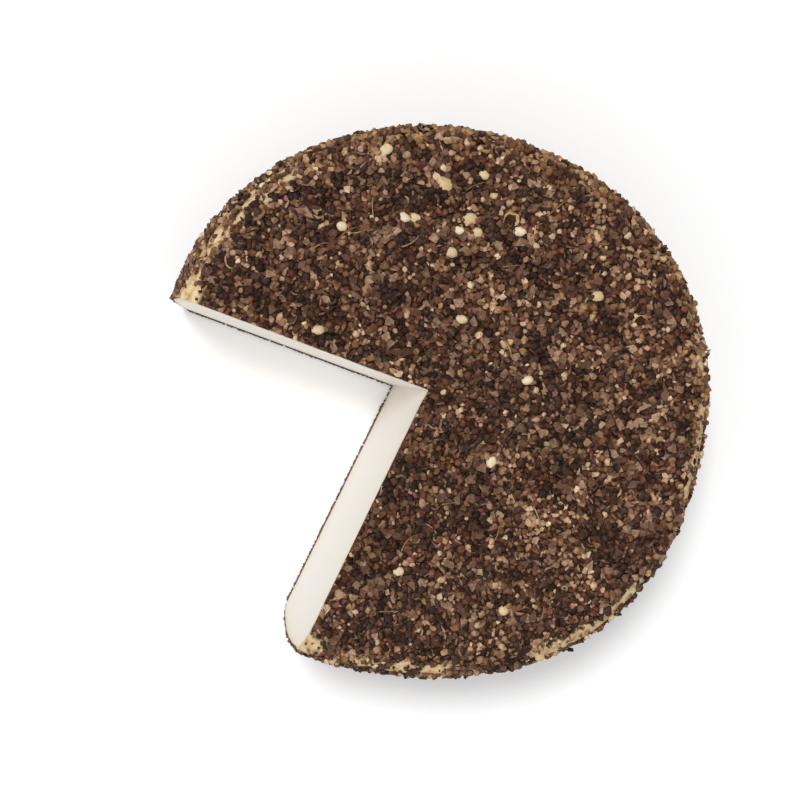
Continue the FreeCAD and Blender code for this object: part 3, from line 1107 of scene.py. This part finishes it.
PEPPERS = {
    # The dried outer husk, its curled flakes nearly black and a little shinier than what lies under it.
    "black_husks": pepper_material("black_pepper_husk", ["28140c", "37241c", "4e3225"],
                                   ["4c3224", "765641", "a8886c"], roughness=0.6),
    # Cracked corns with the husk still on: dark, matt, with a brown break.
    "dark_cracked": pepper_material("cracked_pepper_dark", ["2e190f", "462d1e", "5e4231"],
                                    ["4c3124", "6e4f3c", "92705a"]),
    # Cracked corns that lost their outermost skin: the mid brown that the coat reads as from a distance.
    "brown_cracked": pepper_material("cracked_pepper_brown", ["47291a", "68432e", "835a42"],
                                     ["623f29", "8a6349", "b28d70"]),
    # The thin skin between husk and core, which gives the coat its reddish glints.
    "red_brown_husks": pepper_material("pepper_inner_skin", ["4c291e", "6a4031", "805446"],
                                       ["6a4534", "907058"]),
    # The same skin where it is thin and dry: tan, and it makes the golden rim.
    "golden_skins": pepper_material("pepper_golden_skin", ["6c482a", "8e6641", "b08960"],
                                    ["7a583a", "a47e58", "c8a47e"]),
    # The floury starch of the core: the pale specks all over, with shallower wrinkles than a husk.
    "pale_cores": pepper_material("pepper_core_starch", ["8e6a50", "b89274", "d8b692"],
                                  ["a48064", "ccaa88", "e8ceac"], bump_mm=0.04, blotchy=0.25),
    # Husked white corns: cream, smooth and nearly even, the brightest things on the coat.
    "whole_corns": pepper_material("pale_peppercorn", ["cfae80", "e2cba2", "efe0c0"], ["8a6a4a", "6e5238"],
                                   bump_mm=0.04, roughness=0.6, blotchy=0.1),
    # The same corns broken across: a cream ring of flesh round a brown pit, its own brown and painted shade.
    "hollow_corns": pepper_material("pale_peppercorn_cut_pit_shade", ["b08c60", "d0ac7c"], ["6a4a30", "8a6442"],
                                    bump_mm=0.04, blotchy=0.2),
    # Ground pepper: husk and core mixed, so it is a middle brown that fills the gaps.
    "pepper_dust": pepper_material("ground_pepper", ["2c1b13", "4a3325", "725541"], ["4a3325", "6e5340"]),
    # Dry stalk, straw-coloured all through.
    "stalks": pepper_material("pepper_stalk", ["7a5638", "b89468"], ["7a5638", "b89468"]),
    # Grey crumbs at the foot of the cut faces, drawing a dark line: partly the base coat, partly painted
    # contact shadow.
    "foot_crumbs_painted_shadow": pepper_material("pepper_crumbs_painted_shadow", ["5a5048", "7d7268"], ["665c53", "8a7e74"]),
}
grains = {kind: join_grains(kind, PEPPERS[kind], chance) for kind in GRAIN_SHAPES}
print("triangles in all grains:", sum(len(piece.data.polygons) for piece in grains.values()))

# %% [markdown]
# The rind is dry and waxy, tan with darker scuffs. Wherever the coat covers it, it is near black-brown:
# partly the stain of pepper dust, partly painted shade of the gaps between the grains. The bare attribute
# chooses between the two. The scuffs are as wide as the pepper that was rubbed off, and the specks in the
# dark rind are as fine as its dust.


# %% Natural rind, stained by pepper and with painted shade between the grains
SCUFF, SPECK = 2.4 * MM, 0.5 * MM


def finish_rind(tree, shader):
    """Tan rind where bare; elsewhere dark: pepper stain and painted shade of the gaps between grains."""
    place = add_node(tree, "ShaderNodeTexCoord").outputs["Object"]
    bare = add_node(tree, "ShaderNodeAttribute", {"attribute_name": "bare"}).outputs["Fac"]
    scuffs = add_node(tree, "ShaderNodeTexNoise", inputs={
        "Vector": place, "Scale": 1 / SCUFF, "Detail": 5.0, "Roughness": 0.65})
    tan = add_node(tree, "ShaderNodeValToRGB", inputs={"Fac": scuffs.outputs["Fac"]}, stops=[
        (0.3, "97714a"), (0.42, "c69f70"), (0.52, "e0c294"), (0.66, "efdcae")])
    specks = add_node(tree, "ShaderNodeTexNoise", inputs={
        "Vector": place, "Scale": 1 / SPECK, "Detail": 4.0, "Roughness": 0.7})
    # Near black-brown under the coat: partly pepper stain, partly painted shade in the gaps between the
    # grains.
    stain_and_gap_shade = add_node(tree, "ShaderNodeValToRGB", inputs={"Fac": specks.outputs["Fac"]}, stops=[
        (0.3, "24120a"), (0.52, "3a2013"), (0.68, "553624"), (0.82, "7c5e48")])
    both = add_node(tree, "ShaderNodeMix", {"data_type": "RGBA"},
                    {0: bare, 6: stain_and_gap_shade.outputs["Color"], 7: tan.outputs["Color"]})
    tree.links.new(both.outputs[2], shader.inputs["Base Color"])
    shader.inputs["Roughness"].default_value = 0.65
    shader.inputs["Specular IOR Level"].default_value = 0.2
    bump = add_node(tree, "ShaderNodeBump", inputs={
        "Height": specks.outputs["Fac"], "Distance": 0.15 * MM, "Strength": 0.7})
    tree.links.new(bump.outputs["Normal"], shader.inputs["Normal"])


finish_rind(rind_tree, rind_shader)
print(rind_material.name, "has", len(rind_tree.nodes), "nodes")

# %% [markdown]
# The paste is ivory, and it turns yellower and a little darker in the last millimetres under the rind,
# where the cheese has dried. The depth attribute drives that, and slow noise makes its edge wander. Light
# goes a few millimetres into the paste, which softens the ripples of the knife, and the fat leaves a faint
# sheen.


# %% Aged cheese paste
WANDER, GRAIN = 5 * MM, 0.8 * MM  # widths of the wandering edge and of the paste's fine grain
LIGHT_REACH = 2 * MM


def finish_paste(tree, shader):
    """Ivory paste that yellows towards the rind."""
    place = add_node(tree, "ShaderNodeTexCoord").outputs["Object"]
    depth = add_node(tree, "ShaderNodeAttribute", {"attribute_name": "rind_depth"}).outputs["Fac"]
    wander = add_node(tree, "ShaderNodeTexNoise", inputs={
        "Vector": place, "Scale": 1 / WANDER, "Detail": 3.0})
    shifted = add_node(tree, "ShaderNodeMath", {"operation": "MULTIPLY_ADD"},
                       {0: wander.outputs["Fac"], 1: 1.6, 2: depth})
    share = add_node(tree, "ShaderNodeMapRange", inputs={
        "Value": shifted.outputs["Value"], "From Min": 1.2, "From Max": 13.2})
    ivory = add_node(tree, "ShaderNodeValToRGB", inputs={"Fac": share.outputs["Result"]}, stops=[
        (0.03, "cdb48a"), (0.1, "e9dac0"), (0.25, "efe6da"), (1.0, "f1ebe2")])
    tree.links.new(ivory.outputs["Color"], shader.inputs["Base Color"])
    shader.inputs["Roughness"].default_value = 0.45
    shader.inputs["IOR"].default_value = 1.45
    shader.inputs["Subsurface Weight"].default_value = 0.35
    shader.inputs["Subsurface Radius"].default_value = (1.0, 0.7, 0.4)
    shader.inputs["Subsurface Scale"].default_value = LIGHT_REACH
    fine = add_node(tree, "ShaderNodeTexNoise", inputs={
        "Vector": place, "Scale": 1 / GRAIN, "Detail": 4.0})
    bump = add_node(tree, "ShaderNodeBump", inputs={
        "Height": fine.outputs["Fac"], "Distance": 0.05 * MM, "Strength": 0.5})
    tree.links.new(bump.outputs["Normal"], shader.inputs["Normal"])


finish_paste(paste_tree, paste_shader)
print(paste_material.name, "has", len(paste_tree.nodes), "nodes")
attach(core, "root")
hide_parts(NODE)

# %% [markdown]
# ## Floor, light and camera
#
# The cheese stands on a white card. The card glows a little for rays that come from the camera, straight or
# by way of gloss or glass, so that it shows as white while its real light on the cheese stays plain.

# %% Floor
floor_material, floor_tree, floor_shader = new_material("matt_white_card")
floor_tree.nodes.remove(floor_shader)
card = add_node(floor_tree, "ShaderNodeBsdfDiffuse", inputs={"Color": linear("f3f3f3")})
glow = add_node(floor_tree, "ShaderNodeEmission", inputs={"Color": linear("ffffff"), "Strength": 0.2})
rays = add_node(floor_tree, "ShaderNodeLightPath")
seen = add_node(floor_tree, "ShaderNodeMath", {"operation": "MAXIMUM"},
                {0: rays.outputs["Is Camera Ray"], 1: rays.outputs["Is Glossy Ray"]})
seen_through = add_node(floor_tree, "ShaderNodeMath", {"operation": "MAXIMUM"},
                        {0: seen.outputs["Value"], 1: rays.outputs["Is Transmission Ray"]})
lifted_glow = add_node(floor_tree, "ShaderNodeMixShader",
                       inputs={0: seen_through.outputs["Value"], 2: glow.outputs[0]})
both = add_node(floor_tree, "ShaderNodeAddShader", inputs={0: card.outputs[0], 1: lifted_glow.outputs[0]})
floor_tree.links.new(both.outputs[0], floor_tree.nodes["Material Output"].inputs["Surface"])
floor_shape = bmesh.new()
bmesh.ops.create_grid(floor_shape, x_segments=1, y_segments=1, size=3.0)
floor = shape_to_object(floor_shape, "floor", [floor_material])
print("floor, m:", [round(side, 2) for side in floor.dimensions])

# %% [markdown]
# A soft sun stands high and a little to the side, a broader one fills from another side, and an even white
# sky does the rest. Their three shares add up to the light at which a level white card is its own white.
# The camera sees the sky as white whatever its share.

# %% Light
KEY_BEARING, KEY_ELEVATION = math.radians(156), math.radians(66)
FILL_BEARING, FILL_ELEVATION = math.radians(240), math.radians(50)
KEY_ANGLE, FILL_ANGLE = 13, 80  # how broad the two suns look, in degrees
SKY_SHARE, KEY_SHARE, FILL_SHARE = 0.36, 0.46, 0.18
scene = bpy.context.scene
world = bpy.data.worlds.new("white_studio")
scene.world = world
world.use_nodes = True
world_tree = world.node_tree
world_tree.nodes.clear()
rays = add_node(world_tree, "ShaderNodeLightPath")
seen = add_node(world_tree, "ShaderNodeMath", {"operation": "MAXIMUM"},
                {0: rays.outputs["Is Camera Ray"], 1: rays.outputs["Is Transmission Ray"]})
strength = add_node(world_tree, "ShaderNodeMapRange", inputs={
    "Value": seen.outputs["Value"], "To Min": SKY_SHARE, "To Max": 1.0})
sky = add_node(world_tree, "ShaderNodeBackground",
               inputs={"Color": linear("ffffff"), "Strength": strength.outputs["Result"]})
add_node(world_tree, "ShaderNodeOutputWorld", inputs={"Surface": sky.outputs[0]})


def toward(bearing, elevation):
    """The direction of a bearing and an elevation, as a vector of length 1."""
    return Vector((math.cos(elevation) * math.cos(bearing), math.cos(elevation) * math.sin(bearing),
                   math.sin(elevation)))


def add_sun(name, bearing, elevation, share, angle):
    """A soft sun that gives level ground its share of the light."""
    light = bpy.data.lights.new(name, "SUN")
    light.energy = math.pi * share / math.sin(elevation)
    light.angle = math.radians(angle)
    sun = bpy.data.objects.new(name, light)
    sun.rotation_mode = "QUATERNION"
    sun.rotation_quaternion = toward(bearing, elevation).to_track_quat("Z", "Y")
    scene.collection.objects.link(sun)
    print(name, "sun, W/m2:", round(light.energy, 2))


add_sun("key", KEY_BEARING, KEY_ELEVATION, KEY_SHARE, KEY_ANGLE)
add_sun("fill", FILL_BEARING, FILL_ELEVATION, FILL_SHARE, FILL_ANGLE)

# %% [markdown]
# The camera looks nearly straight down on the cheese, from half a metre away, and it is rolled so that the
# missing wedge opens to the lower left.

# %% Camera
CAMERA_BEARING, CAMERA_ELEVATION = math.radians(-166.4), math.radians(79.4)
CAMERA_ROLL = math.radians(99.5)
CAMERA_DISTANCE = 500.6 * MM
aim = Vector((-6.4 * MM, -1.7 * MM, 0.5 * height))
back = toward(CAMERA_BEARING, CAMERA_ELEVATION)
camera_data = bpy.data.cameras.new("camera")
camera_data.lens = 83.25
camera_data.sensor_width = 36
camera = bpy.data.objects.new("camera", camera_data)
camera.rotation_mode = "QUATERNION"
camera.location = aim + back * CAMERA_DISTANCE
camera.rotation_quaternion = back.to_track_quat("Z", "Y") @ Quaternion((0, 0, 1), CAMERA_ROLL)
scene.collection.objects.link(camera)
scene.camera = camera
scene.view_settings.view_transform = "Standard"
print("camera, mm:", [round(c / MM) for c in camera.location])
